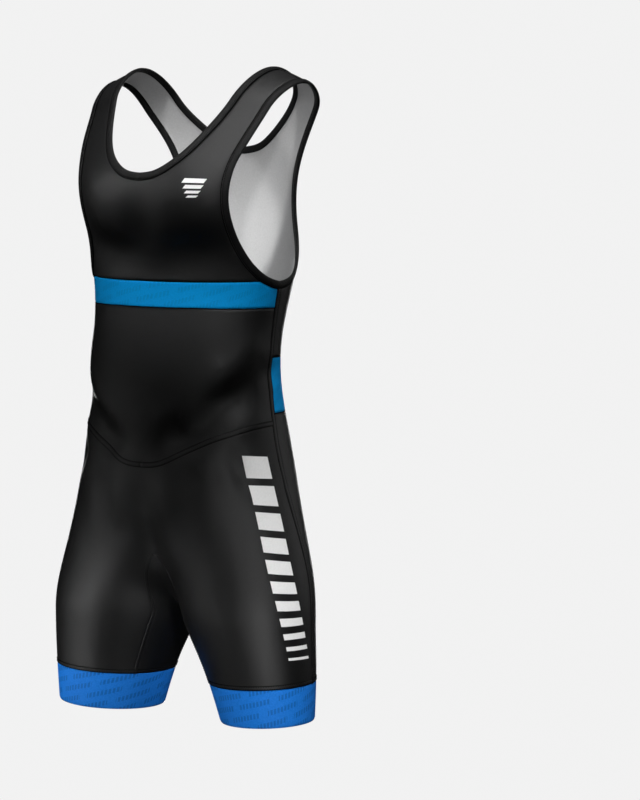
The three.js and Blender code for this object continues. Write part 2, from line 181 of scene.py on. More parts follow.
def leg(place, down):
    """One ring of a leg, an oval turned outwards, joined to the other leg above the crotch."""
    c, s = math.cos(LEG_TURN), math.sin(LEG_TURN)
    long, short, centre = LEG["long"](down), LEG["short"](down), LEG["centre"](down)
    xx = long * c * c + short * s * s
    yy = long * s * s + short * c * c
    xy = (short - long) * c * s
    reach = np.hypot(xx, xy)
    lag = np.arctan2(-xy, xx)
    bridge = BRIDGE_HIGH * smooth((CROTCH - down) / BRIDGE_HIGH_RUN)
    bridge = bridge + BRIDGE_LOW * smooth((CROTCH + BRIDGE_LOW_RUN - down) / BRIDGE_LOW_RUN)
    joined = math.pi / 2 - np.arcsin(np.minimum((centre - bridge) / reach, 1))
    nearness = np.minimum(JOIN_SHARPNESS / np.maximum(joined, 0.01), JOIN_LIMIT)
    near_front = np.clip(1 - 2 * place, 0, 1) ** nearness
    near_back = np.clip(2 * place - 1, 0, 1) ** nearness
    turn = 2 * math.pi * place - math.pi / 2 - lag + joined * (near_front - near_back)
    x = centre + xx * np.sin(turn) - xy * np.cos(turn)
    y = LEG_MIDDLE + xy * np.sin(turn) - yy * np.cos(turn)
    return np.sqrt(np.maximum(x * x - bridge * bridge, 0)), y


def body(place, down):
    """Points of the outer face on the wearer's left half, one row of x, y, z each."""
    place, down = np.broadcast_arrays(np.asarray(place, float), np.asarray(down, float))
    upper = torso(place, np.minimum(down, TORSO_END))
    lower = leg(place, np.maximum(down, HIP))
    share = smooth((down - HIP) / (CROTCH - HIP))
    x, y = mix(upper[0], lower[0], share), mix(upper[1], lower[1], share)
    level = 1 - smooth(down / SHOULDER_RUN)
    fall = SHOULDER_FALL * (x * x - STRAP_INNER ** 2) * level
    return np.stack([x, y, height(down) - fall], -1)


def unit(v):
    return v / np.maximum(np.linalg.norm(v, axis=-1, keepdims=True), 1e-9)


def even(count):
    """Shares from 0 to 1 in so many equal steps."""
    return np.linspace(0, 1, count + 1)


def run_along(line):
    """How far along a line of points each of them is."""
    return np.concatenate([[0], np.cumsum(np.linalg.norm(np.diff(line, axis=0), axis=1))])


def directions(place, down):
    """The surface's two directions: round the body, and down it."""
    before, after = np.maximum(place - PLACE_STEP, 0), np.minimum(place + PLACE_STEP, 1)
    above, below = np.maximum(down - DOWN_STEP, 0), down + DOWN_STEP
    across = (body(after, down) - body(before, down)) / (after - before)[..., None]
    low = (body(place, below) - body(place, above)) / (below - above)[..., None]
    return across, low


def facing(place, down):
    """The way the outer face looks; on the centre line it has no sideways part."""
    across, low = directions(place, down)
    centre = ((place <= 1e-9) | (place >= 1 - 1e-9)) & (down <= CROTCH)
    sideways = np.zeros_like(across)
    sideways[..., 0] = np.where(place < 0.5, 1.0, -1.0)
    low_centre = body(place, down) - body(place, np.maximum(down - 1, 0))
    low = np.where(centre[..., None], low_centre, low)
    across = np.where(centre[..., None], sideways, across)
    return unit(np.cross(low, across))


def side_seam(down):
    return SIDE_PLACE + SIDE_SHIFT * smooth((down - SIDE_FROM) / SIDE_RUN)


def hem_line(place):
    return HEM_DOWN + HEM_TILT * np.cos(2 * math.pi * place)


def band_top(place):
    return hem_line(place) - HEM_BAND


def back_band_top(share):
    return BACK_TOP + BACK_SAG * np.sin(share * math.pi / 2) ** 2


def opening(share, down):
    """Columns are closer together at the centre line where the legs' rings join."""
    tight = TIGHTNESS * smooth((down - TIGHT_FROM) / TIGHT_RUN)
    return share * (1 - tight * (1 - share) ** TIGHT_POWER)


# Folds and fullness: how deep and how wide they are in millimetres, the sides they are on, and
# their line as place and distance down. A minus depth is a ridge.

LEFT, RIGHT, BOTH, MIDDLE = (1,), (-1,), (1, -1), (1,)
FOLDS = [
    ("between the chest muscles", 2.0, 20, MIDDLE, [(0, 172), (0, 200), (0, 232), (0, 262)]),
    ("under the chest", 4.2, 24, BOTH, [(0.03, 266), (0.09, 262), (0.16, 258), (0.225, 248)]),
    ("under the belly, left", 8.5, 22, LEFT, [
        (0.03, 516), (0.088, 507), (0.13, 497), (0.177, 486), (0.267, 457), (0.33, 446), (0.388, 435),
        (0.467, 422),
    ]),
    ("under the belly, right", 6.0, 21, RIGHT, [
        (0.03, 518), (0.09, 506), (0.15, 492), (0.22, 474), (0.3, 456), (0.38, 442),
    ]),
    ("over the left hip", -3.6, 20, LEFT, [(0.42, 372), (0.368, 386), (0.285, 408), (0.2, 435)]),
    ("over the right hip", -2.2, 20, RIGHT, [(0.42, 378), (0.368, 392), (0.285, 412), (0.2, 438)]),
    ("centre, above the legs", 7.5, 26, MIDDLE, [(0, 538), (0, 570), (0, 610), (0, 650), (0, 690)]),
    ("groins", 2.6, 23, BOTH, [(0.17, 522), (0.148, 540), (0.113, 574), (0.082, 628), (0.042, 668)]),
    ("left hip dimple", 3.0, 12, LEFT, [(0.27, 512), (0.3, 530), (0.32, 545), (0.343, 562)]),
    ("right hip dimple", 2.4, 12, RIGHT, [(0.27, 514), (0.3, 532), (0.33, 552)]),
    ("waist", 2.2, 15, BOTH, [(0.54, 408), (0.5, 414), (0.46, 421)]),
    ("small of the back", 2.4, 24, MIDDLE, [(1, 320), (1, 360), (1, 410), (1, 450)]),
    ("between the seat's halves", 3.2, 15, MIDDLE, [(1, 560), (1, 600), (1, 650), (1, 700)]),
    ("under the seat", 3.4, 16, BOTH, [
        (0.965, 716), (0.92, 722), (0.86, 724), (0.8, 716), (0.74, 704),
    ]),
]
MOUNDS = [
    ("chest", 6.5, 46, BOTH, (0.135, 196)),
    ("upper belly", 2.6, 46, BOTH, (0.14, 348)),
    ("belly", 3.2, 38, MIDDLE, (0, 486)),
    ("seat", 4.2, 50, BOTH, (0.86, 636)),
    ("shoulder blades", 2.4, 40, BOTH, (0.9, 200)),
]
FOLD_STEPS, FOLD_END, FOLD_REACH = 63, 0.32, 3.0
RIDGE_SHARE, RIDGE_AT, RIDGE_TIGHTNESS = 0.25, 1.7, 1.6


def on_form(place, down, side):
    """Points of the plain form on one side."""
    return body(place, down) * np.array([side, 1, 1])


def fold_lines():
    """Each fold as points in space, close together, with how strong it is along its line."""
    lines = []
    share = even(FOLD_STEPS)
    strength = smooth(share / FOLD_END) * smooth((1 - share) / FOLD_END)
    for _, depth, width, sides, points in FOLDS:
        places, downs = zip(*points)
        run = np.linspace(0, 1, len(points))
        for side in sides:
            line = on_form(spline(run, places)(share), spline(run, downs)(share), side)
            lines.append((depth, width, line, strength))
    return lines


FOLD_LINES = fold_lines()


def relief(points):
    """How far the cloth stands off the plain form, at points of that form."""
    flat = points.reshape(-1, 3)
    lift = np.zeros(len(flat))
    for depth, width, line, strength in FOLD_LINES:
        reach = FOLD_REACH * width
        low, high = line.min(0) - reach, line.max(0) + reach
        near = np.flatnonzero(((flat > low) & (flat < high)).all(1))
        if not len(near):
            continue
        gap = np.linalg.norm(flat[near, None] - line[None], axis=2) / width
        weight = strength[None] * np.exp(-gap ** 2)
        lift[near] -= depth * weight.max(1)
        if depth > 0:
            outer = strength[None] * np.exp(-((gap - RIDGE_AT) ** 2) * RIDGE_TIGHTNESS)
            lift[near] += RIDGE_SHARE * depth * outer[np.arange(len(near)), gap.argmin(1)]
    for _, high, radius, sides, (place, down) in MOUNDS:
        for side in sides:
            gap = np.linalg.norm(flat - on_form(place, down, side), axis=1) / radius
            lift += high * np.exp(-gap ** 2)
    return lift.reshape(points.shape[:-1])


def surface(place, down, side, lift=0.0):
    """Points on the worn cloth's outer face, raised by lift, and the way it faces there."""
    place, down = np.broadcast_arrays(np.asarray(place, float), np.asarray(down, float))
    flip = np.ones(place.shape + (3,))
    flip[..., 0] = side
    points, normals = body(place, down) * flip, facing(place, down) * flip
    return points + normals * (relief(points) + lift)[..., None], normals


def laid(line, side, lift=0.0):
    """The same for a line of places."""
    return surface(line[:, 0], line[:, 1], side, lift)


# Edges

# Millimetres for half the way round the body, where places are measured as lengths
HALF_ROUND = 450
STRIP = 9.0
STRIP_COLUMNS = 3
FINE = 6
NECK_ROWS, CENTRE_ROWS, LOW_ROWS = 14 * FINE, 6 * FINE, 3 * FINE
BACK_NECK_ROWS, BACK_CENTRE_ROWS = 13 * FINE, 12 * FINE
BACK_ARM_ROWS, BACK_SIDE_ROWS = 19 * FINE, 6 * FINE


def edge(points):
    """An edge through its listed points, as a function of the share of its length."""
    places, downs = (np.array(column, float) for column in zip(*points))
    steps = np.hypot(np.diff(places) * HALF_ROUND, np.diff(downs))
    run = np.concatenate([[0], np.cumsum(steps)])
    place, down = spline(run, places), spline(run, downs)
    return lambda share: np.stack([place(share * run[-1]), down(share * run[-1])], -1)


def moved(line, distance):
    """A line of places moved a distance to its left over the surface, seen from outside."""
    place, down = line[:, 0], line[:, 1]
    along = unit(np.gradient(body(place, down), axis=0))
    across, low = directions(place, down)
    inward = np.cross(facing(place, down), along) * np.asarray(distance)[..., None]
    a, b, c = (across * across).sum(1), (across * low).sum(1), (low * low).sum(1)
    p, q = (inward * across).sum(1), (inward * low).sum(1)
    size = a * c - b * b
    new_place = place + (p * c - q * b) / size
    return np.stack([new_place, np.maximum(down + (a * q - b * p) / size, 0)], 1)


def with_strip(points, count, distance, low):
    """An edge and the line a strip's width inside it."""
    outer = edge(points)(even(count))
    inner = moved(outer, np.full(count + 1, float(distance)))
    inner[0, 1] = 0
    inner[count] = low, outer[count, 1] + STRIP
    return outer, inner


neck_front, neck_front_in = with_strip(NECK_FRONT[::-1], NECK_ROWS, STRIP, 0)
neck_back, neck_back_in = with_strip(NECK_BACK[::-1], BACK_NECK_ROWS, -STRIP, 1)
arm_front, arm_front_in = with_strip(
    ARMHOLE_FRONT, NECK_ROWS + CENTRE_ROWS + LOW_ROWS, -STRIP, SIDE_PLACE)
arm_back, arm_back_in = with_strip(ARMHOLE_BACK[::-1], BACK_ARM_ROWS, STRIP, SIDE_PLACE)


def straight(start, end, count):
    return mix(np.asarray(start, float), np.asarray(end, float), even(count)[:, None])


def between(first, second, columns):
    """A grid of places between two lines."""
    return mix(first[:, None], second[:, None], even(columns)[None, :, None])


# Panels, as grids of places on the left half: rows run down, columns run round the body

UPPER_COLUMNS, LOWER_COLUMNS, GUSSET_COLUMNS, LEG_COLUMNS = 50, 72, 60, 180
BAND_ROWS, BELLY_ROWS, HIP_ROWS, BACK_BAND_ROWS, SEAT_ROWS = 12, 60, 48, 24, 66
GUSSET_ROWS, HEM_ROWS = 66, 18
GUSSET_POWER, SAG_POWER = 1.35, 3
LEG_SPREAD, SEAM_SPREAD = 4, 6.5
BELOW_ALL = 900


def front_upper():
    centre = straight(neck_front_in[-1], (0, CHEST_TOP), CENTRE_ROWS)
    inside = np.concatenate([neck_front_in, centre[1:]])
    outside = arm_front_in[:len(inside)]
    return [
        between(neck_front, neck_front_in, STRIP_COLUMNS),
        between(inside, outside, UPPER_COLUMNS),
        between(arm_front_in, arm_front, STRIP_COLUMNS),
    ]


def back_upper():
    centre = straight(neck_back_in[-1], (1, back_band_top(1)), BACK_CENTRE_ROWS)
    side = straight(arm_back_in[-1], (SIDE_PLACE, BACK_TOP), BACK_SIDE_ROWS)
    inside = np.concatenate([neck_back_in, centre[1:]])
    outside = np.concatenate([arm_back_in, side[1:]])
    cloth = between(outside, inside, UPPER_COLUMNS)
    sag = back_band_top(even(UPPER_COLUMNS)) - cloth[-1, :, 1]
    cloth[..., 1] += sag * (np.linspace(0, 1, len(cloth)) ** SAG_POWER)[:, None]
    return [
        between(arm_back, arm_back_in, STRIP_COLUMNS),
        cloth,
        between(neck_back_in, neck_back, STRIP_COLUMNS),
    ]


def chest_band():
    meet = arm_front_in[NECK_ROWS + CENTRE_ROWS]
    top = straight((0, CHEST_TOP), meet, UPPER_COLUMNS)
    line = np.concatenate([top, arm_front_in[NECK_ROWS + CENTRE_ROWS + 1:]])
    foot = np.stack([line[:, 0], np.full(len(line), float(CHEST_BOTTOM))], 1)
    return [mix(line[None], foot[None], even(BAND_ROWS)[:, None, None])]


def level(down):
    """A straight edge at one distance down."""
    return lambda share: np.full_like(share, down)


def lower_columns(front):
    """Shares across a lower panel, 0 at the centre line and 1 at the side seam."""
    share = even(LOWER_COLUMNS)[None]
    return share if front else 1 - share


def lower_rows(rows, top, bottom, front):
    share = lower_columns(front)
    down = mix(top(share), bottom(share), even(rows)[:, None])
    side, across = side_seam(down), opening(share, down)
    return np.stack([side * across if front else 1 - (1 - side) * across, down], -1)


def front_lower():
    return [lower_rows(BELLY_ROWS, level(CHEST_BOTTOM), WAIST_SEAM, True)]


def back_band():
    share = even(UPPER_COLUMNS)[None]
    down = mix(back_band_top(share), BACK_BOTTOM, even(BACK_BAND_ROWS)[:, None])
    return [np.stack([mix(SIDE_PLACE, 1, share) + 0 * down, down], -1)]


def gusset_share():
    return (even(GUSSET_ROWS) ** GUSSET_POWER)[:, None]


def gusset_seam(tip, place, front, share):
    end = float(place(HEM_DOWN - HEM_BAND))
    down = mix(tip, band_top(end), share)
    at = place(down)
    return (at if front else 1 - at), down


def beside_gusset(tip, gusset, front):
    """The part of a leg panel between the gusset's seam and the side seam."""
    share = gusset_share()
    seam, seam_down = gusset_seam(tip, gusset, front, share)
    part = lower_columns(front)
    across = opening(part, mix(seam_down, TIGHT_FROM, smooth(share * LEG_SPREAD)))
    end = float(gusset(BELOW_ALL))
    foot = band_top(mix(end if front else 1 - end, side_seam(BELOW_ALL), part))
    down = mix(tip, foot, share)
    place = mix(seam, side_seam(down), across)
    return np.stack([place, mix(seam_down, down, smooth(part * SEAM_SPREAD))], -1)


def front_shorts():
    above = lower_rows(HIP_ROWS, WAIST_SEAM, level(GUSSET_TIP), True)
    return [above, beside_gusset(GUSSET_TIP, GUSSET_FRONT, True)]


def back_lower():
    above = lower_rows(SEAT_ROWS, level(BACK_BOTTOM), level(GUSSET_TOP_BACK), False)
    return [above, beside_gusset(GUSSET_TOP_BACK, GUSSET_BACK, False)]


def inner_gusset():
    share = gusset_share()
    across = np.linspace(-1, 1, GUSSET_COLUMNS + 1)[None]
    front = gusset_seam(GUSSET_TIP, GUSSET_FRONT, True, share)
    back = gusset_seam(GUSSET_TOP_BACK, GUSSET_BACK, False, share)
    middle = mix(CROTCH, hem_line(0) - HEM_BAND, share)
    part = np.abs(across)
    place = np.where(across < 0, 1 - (1 - back[0]) * part, front[0] * part)
    down = mix(middle, np.where(across < 0, back[1], front[1]), smooth(part))
    return [np.stack([place, down], -1)]


def hem_band():
    place = even(LEG_COLUMNS)[None]
    down = mix(band_top(place), hem_line(place), even(HEM_ROWS)[:, None])
    return [np.stack([place + 0 * down, down], -1)]


# Meshes

WALL = 1.2
KEYS_PER_MM = 100
FLIP = np.array([-1, 1, 1])


def cell_corners(index):
    """The four corners of each cell in a grid of point numbers, in turn."""
    return [index[:-1, :-1], index[1:, :-1], index[1:, 1:], index[:-1, 1:]]


class Cloth:
    """Grids joined where their points meet; each point keeps its place, distance down and side."""

    def __init__(self, grids, sides):
        self.points, self.normals, self.where, self.quads = [], [], [], []
        self.known = {}
        for side in sides:
            for grid in grids:
                self.add(grid, side)
        self.points, self.normals = np.array(self.points), np.array(self.normals)
        self.where = np.array(self.where)

    def add(self, grid, side):
        rows, columns = grid.shape[:2]
        points, normals = surface(grid[..., 0], grid[..., 1], side)
        plain = on_form(grid[..., 0], grid[..., 1], side)
        keys = np.round(plain.reshape(-1, 3) * KEYS_PER_MM).astype(int)
        index = np.empty(rows * columns, int)
        for k, key in enumerate(map(tuple, keys)):
            if key not in self.known:
                self.known[key] = len(self.points)
                i, j = divmod(k, columns)
                self.points.append(points[i, j])
                self.normals.append(normals[i, j])
                self.where.append((grid[i, j, 0], grid[i, j, 1], side))
            index[k] = self.known[key]
        corners = cell_corners(index.reshape(rows, columns))
        if side < 0:
            corners = corners[::-1]
        for quad in np.stack(corners, -1).reshape(-1, 4):
            distinct = [int(a) for a, b in zip(quad, np.roll(quad, -1)) if a != b]
            if len(distinct) > 2:
                self.quads.append(distinct)

    def open_edges(self):
        used = {(f[i], f[(i + 1) % len(f)]) for f in self.quads for i in range(len(f))}
        return [pair for pair in used if pair[::-1] not in used]


def add_object(name, data):
    obj = bpy.data.objects.new(name, data)
    bpy.context.collection.objects.link(obj)
    return obj


def make_mesh(name, points, faces, materials, kinds=None, uv=None, mend=False, crease=0):
    mesh = bpy.data.meshes.new(name)
    mesh.from_pydata((np.asarray(points) * MM).tolist(), [], faces)
    if kinds is not None:
        mesh.polygons.foreach_set("material_index", np.asarray(kinds, dtype=np.int32))
    if uv is not None:
        layer = mesh.uv_layers.new(name="cloth")
        loops = np.empty(len(mesh.loops), dtype=np.int32)
        mesh.loops.foreach_get("vertex_index", loops)
        layer.data.foreach_set("uv", (np.asarray(uv)[loops] * MM).ravel())
    if mend:
        tool = bmesh.new()
        tool.from_mesh(mesh)
        bmesh.ops.recalc_face_normals(tool, faces=tool.faces)
        tool.to_mesh(mesh)
        tool.free()
    mesh.shade_smooth()
    if crease:
        mesh.set_sharp_from_angle(angle=math.radians(crease))
    for material in materials:
        mesh.materials.append(material)
    mesh.update()
    return add_object(name, mesh)


def near_line(points, targets, reach):
    """Distance from each point to the nearest target, or reach where none is that near."""
    tree = KDTree(len(targets))
    for i, target in enumerate(targets):
        tree.insert(target, i)
    tree.balance()
    found = np.array([tree.find(p)[2] for p in points])
    return np.minimum(found, reach)


GROOVE_DEPTH, GROOVE_WIDTH, GROOVE_REACH = 0.55, 1.4, 6
PINCH_AT, PINCH_DEPTH, PINCH_WIDTH, PINCH_REACH = 8.9, 0.55, 1.5, 16
ROLL_DEPTH, ROLL_WIDTH, ROLL_REACH = 0.35, 1.0, 4
INNER_DIP = 0.3


def shell(name, cloth, materials, bound_edge=None, rolled=None):
    """A closed thin wall: the outer face, the inner face and the cut edge between them.

    Its outer face dips into the seams, and is drawn in beside a bound edge or over a rolled one."""
    count = len(cloth.points)
    rim = cloth.open_edges()
    edge_points = cloth.points[sorted({k for pair in rim for k in pair})]
    gap = near_line(cloth.points, edge_points, GROOVE_REACH)
    dip = GROOVE_DEPTH * np.exp(-(gap / GROOVE_WIDTH) ** 2)
    pull = np.zeros(count)
    if bound_edge is not None:
        gap = near_line(cloth.points, bound_edge, PINCH_REACH)
        pull = PINCH_DEPTH * np.exp(-((gap - PINCH_AT) / PINCH_WIDTH) ** 2)
    if rolled is not None:
        gap = near_line(cloth.points, rolled, ROLL_REACH)
        dip = dip + ROLL_DEPTH * np.exp(-(gap / ROLL_WIDTH) ** 2)
    outer = cloth.points - cloth.normals * (dip + pull)[:, None]
    inner = cloth.points - cloth.normals * (WALL + pull - INNER_DIP * dip)[:, None]
    faces = [list(f) for f in cloth.quads]
    below = [[k + count for k in reversed(f)] for f in cloth.quads]
    side = [[b, a, a + count, b + count] for a, b in rim]
    kinds = [0] * len(faces) + [1] * len(below) + [0] * len(side)
    place, down, hand = cloth.where.T
    uv = np.stack([hand * place * HALF_ROUND, down], 1)
    return make_mesh(
        name, np.concatenate([outer, inner]), faces + below + side, materials, kinds,
        np.concatenate([uv, uv]))


def tube_faces(count, size, closed, first=0):
    """Faces that join rings of points in turn; the ends are capped where the run isn't closed."""
    faces = []
    for k in range(count if closed else count - 1):
        near, far = first + k * size, first + ((k + 1) % count) * size
        for i in range(size):
            j = (i + 1) % size
            faces.append([near + i, near + j, far + j, far + i])
    if not closed:
        faces.append([first + i for i in range(size)][::-1])
        faces.append([first + (count - 1) * size + i for i in range(size)])
    return faces


def tubes(name, runs, material):
    """One mesh of several runs of rings, each given as (rings, closed)."""
    points, faces, uvs = [], [], []
    first = 0
    for rings, closed in runs:
        count, size = rings.shape[:2]
        faces += tube_faces(count, size, closed, first)
        along, around = run_along(rings[:, 0]), run_along(rings[0])
        uvs.append(np.stack(np.meshgrid(along, around, indexing="ij"), -1).reshape(-1, 2))
        points.append(rings.reshape(-1, 3))
        first += count * size
    return make_mesh(
        name, np.concatenate(points), faces, [material], uv=np.concatenate(uvs), mend=True)


# Materials

def new_material(name):
    material = bpy.data.materials.new(name)
    material.use_nodes = True
    nodes = material.node_tree.nodes
    return material, nodes, material.node_tree.links, nodes["Principled BSDF"]


def grey(tone):
    return (tone, tone, tone, 1)


def add_node(nodes, kind, **values):
    """A new node with some of its inputs set."""
    node = nodes.new("ShaderNode" + kind)
    for name, value in values.items():
        node.inputs[name].default_value = value
    return node


def math_node(nodes, links, operation, *values):
    node = add_node(nodes, "Math")
    node.operation = operation
    for socket, value in zip(node.inputs, values):
        if isinstance(value, (int, float)):
            socket.default_value = value
        else:
            links.new(value, socket)
    return node.outputs["Value"]


def bands(nodes, links, coords, direction, size):
    """Soft bands across the cloth, size metres apart."""
    node = add_node(nodes, "TexWave", Scale=math.pi / (10 * size), Distortion=0.5, Detail=1)
    node.bands_direction = direction
    links.new(coords.outputs["UV"], node.inputs["Vector"])
    return node.outputs["Fac"]


MOTTLE_HEIGHT, MOTTLE_RANGE = 1.6, (0.3, 0.72)


def knit(name, dark, light, roughness, gloss, wale=0.0011, course=0.0009, grain=0.35, marks=None):
    """A fine knit: columns and rows of loops, a soft mottle in colour, and a matt sheen.

    marks gives the share of colour left in the tone-on-tone dashes."""
    material, nodes, links, shader = new_material(name)
    shader.inputs["Roughness"].default_value = roughness
    shader.inputs["Specular IOR Level"].default_value = gloss
    coords = add_node(nodes, "TexCoord")
    mottle = add_node(nodes, "TexNoise", Scale=480, Detail=6, Roughness=0.65)
    links.new(coords.outputs["Object"], mottle.inputs["Vector"])
    ramp = add_node(nodes, "ValToRGB")
    for element, position, color in zip(ramp.color_ramp.elements, MOTTLE_RANGE, (dark, light)):
        element.position = position
        element.color = (*color, 1)
    links.new(mottle.outputs["Fac"], ramp.inputs["Fac"])
    color = ramp.outputs["Color"]
    if marks is not None:
        color = dashes(nodes, links, coords, color, marks)
    links.new(color, shader.inputs["Base Color"])
    columns, rows = bands(nodes, links, coords, "X", wale), bands(nodes, links, coords, "Y", course)
    weave = math_node(nodes, links, "MULTIPLY", columns, rows)
    bump = add_node(nodes, "Bump", Strength=grain, Distance=0.0004)
    loop_height = math_node(nodes, links, "MULTIPLY_ADD", mottle.outputs["Fac"], MOTTLE_HEIGHT, weave)
    links.new(loop_height, bump.inputs["Height"])
    links.new(bump.outputs["Normal"], shader.inputs["Normal"])
    return material


DASH_TILT = math.radians(-14)
DASH_LINE, DASH_HEIGHT, DASH_LEAN, DASH_PITCH, DASH_SHARE = 0.0145, 0.45, 0.35, 0.0052, 0.58
GROUP, GROUP_SHARE, GROUP_SHIFT = 0.058, 0.8, 0.37


def dashes(nodes, links, coords, color, left):
    """Lines of short slanted dashes in groups, a little darker than the cloth."""
    split = add_node(nodes, "SeparateXYZ")
    links.new(coords.outputs["UV"], split.inputs["Vector"])

    def op(*values):
        return math_node(nodes, links, *values)

    u, v = split.outputs["X"], split.outputs["Y"]
    cos, sin = math.cos(DASH_TILT), math.sin(DASH_TILT)
    along = op("ADD", op("MULTIPLY", u, cos), op("MULTIPLY", v, sin))
    over = op("SUBTRACT", op("MULTIPLY", v, cos), op("MULTIPLY", u, sin))
    line = op("DIVIDE", over, DASH_LINE)
    phase = op("FRACT", line)
    shift = op("MULTIPLY", op("FLOOR", line), GROUP * GROUP_SHIFT)
    slanted = op("ADD", op("ADD", along, shift), op("MULTIPLY", phase, DASH_LINE * DASH_LEAN))
    in_line = op("LESS_THAN", phase, DASH_HEIGHT)
    in_dash = op("LESS_THAN", op("FRACT", op("DIVIDE", slanted, DASH_PITCH)), DASH_SHARE)
    in_group = op("LESS_THAN", op("FRACT", op("DIVIDE", slanted, GROUP)), GROUP_SHARE)
    mask = op("MULTIPLY", op("MULTIPLY", in_line, in_dash), in_group)
    darker = add_node(nodes, "Mix")
    darker.data_type = "RGBA"
    darker.blend_type = "MULTIPLY"
    links.new(mask, darker.inputs["Factor"])
    a, b = (s for s in darker.inputs if s.type == "RGBA")
    links.new(color, a)
    b.default_value = grey(left)
    return next(s for s in darker.outputs if s.type == "RGBA")


black_knit = knit("black_knit", (0.0015, 0.0015, 0.00152), (0.004, 0.004, 0.0043), 0.44, 0.36)
inside_knit = knit("inside_knit", (0.44, 0.44, 0.442), (0.52, 0.52, 0.522), 0.85, 0.1)
blue_knit = knit("blue_knit", (0.0005, 0.27, 0.66), (0.0015, 0.33, 0.78), 0.66, 0.06, marks=0.88)
gripper_knit = knit(
    "gripper_knit", (0.008, 0.16, 0.60), (0.018, 0.21, 0.74), 0.6, 0.08, wale=0.0016, marks=0.7)
binding_knit = knit(
    "binding_knit", (0.002, 0.002, 0.0021), (0.005, 0.005, 0.0052), 0.5, 0.2, wale=0.0016, grain=0.6)
# Dark thread for the stitches; the crease strips take it too, as painted shade
thread_and_shade = knit("thread_and_shade", (0.0010, 0.0010, 0.0010), (0.0025, 0.0025, 0.0025), 0.8, 0.03)
grey_thread = knit("grey_thread", (0.36, 0.36, 0.362), (0.46, 0.46, 0.463), 0.7, 0.1)
white_print = knit("white_print", (0.76, 0.76, 0.755), (0.84, 0.84, 0.835), 0.55, 0.15, grain=0.2)
black_print = knit("black_print", (0.008, 0.008, 0.009), (0.014, 0.014, 0.015), 0.5, 0.15, grain=0.2)

SLOTS = {
    "black_knit": black_knit,
    "blue_band": blue_knit,
    "blue_gripper": gripper_knit,
    "black_binding": binding_knit,
}

# Panels in place of the solids


def place_piece(obj, slot=None, *nodes):
    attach(obj, "root")
    if nodes:
        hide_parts(*nodes)
    return obj


def both_sides(line):
    points, _ = laid(line, 1)
    return np.concatenate([points, points * FLIP])


BOUND = np.concatenate([both_sides(line) for line in (neck_front, neck_back, arm_front, arm_back)])
PANELS = [
    ("front_upper", front_upper, "black_knit", BOUND),
    ("chest_band", chest_band, "blue_band", BOUND),
    ("front_lower", front_lower, "black_knit", None),
    ("front_shorts", front_shorts, "black_knit", None),
    ("back_upper", back_upper, "black_knit", BOUND),
    ("back_band", back_band, "blue_band", None),
    ("back_lower", back_lower, "black_knit", None),
    ("inner_gusset", inner_gusset, "black_knit", None),
]
HANDS = (("left", 1), ("right", -1))

for node, grids, slot, bound in PANELS:
    obj = shell("cloth_" + node, Cloth(grids(), (1, -1)), [SLOTS[slot], inside_knit], bound)
    place_piece(obj, slot, node)
round_leg = even(LEG_COLUMNS)
hem_places = np.stack([round_leg, hem_line(round_leg)], 1)
for hand, side in HANDS:
    node = "hem_band_" + hand
    rolled, _ = laid(hem_places, side)
    obj = shell("cloth_" + node, Cloth(hem_band(), (side,)), [gripper_knit, inside_knit], rolled=rolled)
    place_piece(obj, "blue_gripper", node)

# Bindings: a folded tape over each edge, as distance in from the edge and height above the cloth

TAPE = [
    (8.2, 0.0), (8.1, 0.6), (7.5, 1.1), (6.4, 1.15), (5.4, 1.4), (3.2, 1.65), (1.0, 1.5), (-0.5, 1.0),
    (-1.3, 0.1), (-1.45, -0.7), (-1.2, -1.5), (-0.4, -2.2), (1.0, -2.65), (3.2, -2.75), (5.4, -2.6),
    (6.4, -2.4), (7.5, -2.35), (8.1, -1.95), (8.2, -1.4), (4.0, -1.35), (0.2, -1.3), (-0.3, -0.6),
    (0.1, 0.1), (4.0, 0.15),
]
TAPE_STITCHES = ((6.4, 1.2), (6.4, -2.45))


def joined_loop(front, back):
    return np.concatenate([front[::-1], back[1:]])


def tape_section(edge_line, inside_line, side, section):
    """Rings along an edge, and the way each faces."""
    at, normals = laid(edge_line, side)
    inside, _ = laid(inside_line, side)
    inward = unit(inside - at)
    across, lift = (np.array(column)[None, :, None] for column in zip(*section))
    return at[:, None] + inward[:, None] * across + normals[:, None] * lift, normals


def round_neck(section):
    left, left_normals = tape_section(neck_edge, neck_inside, 1, section)
    rings = np.concatenate([left, (left * FLIP)[1:-1][::-1]])
    return rings, np.concatenate([left_normals, (left_normals * FLIP)[1:-1][::-1]])


neck_edge = joined_loop(neck_front, neck_back)
neck_inside = joined_loop(neck_front_in, neck_back_in)
arm_edge = np.concatenate([arm_front, arm_back[::-1][1:-1]])
arm_inside = np.concatenate([arm_front_in, arm_back_in[::-1][1:-1]])

obj = tubes("tape_neck", [(round_neck(TAPE)[0], True)], binding_knit)
place_piece(obj, "black_binding", "neck_binding")
for hand, side in HANDS:
    node = "armhole_binding_" + hand
    rings, _ = tape_section(arm_edge, arm_inside, side, TAPE)
    obj = tubes("tape_armhole_" + hand, [(rings, True)], binding_knit)
    place_piece(obj, "black_binding", node)

# Stitches

# A stitch's rings: share of its length, size and height above the cloth
STITCH = ((-0.5, 0.4, -0.12), (-0.22, 1.0, 0.12), (0.22, 1.0, 0.12), (0.5, 0.4, -0.12))
STITCH_SIDES, STITCH_PITCH, STITCH_LENGTH, STITCH_RADIUS = 5, 3.2, 2.4, 0.27


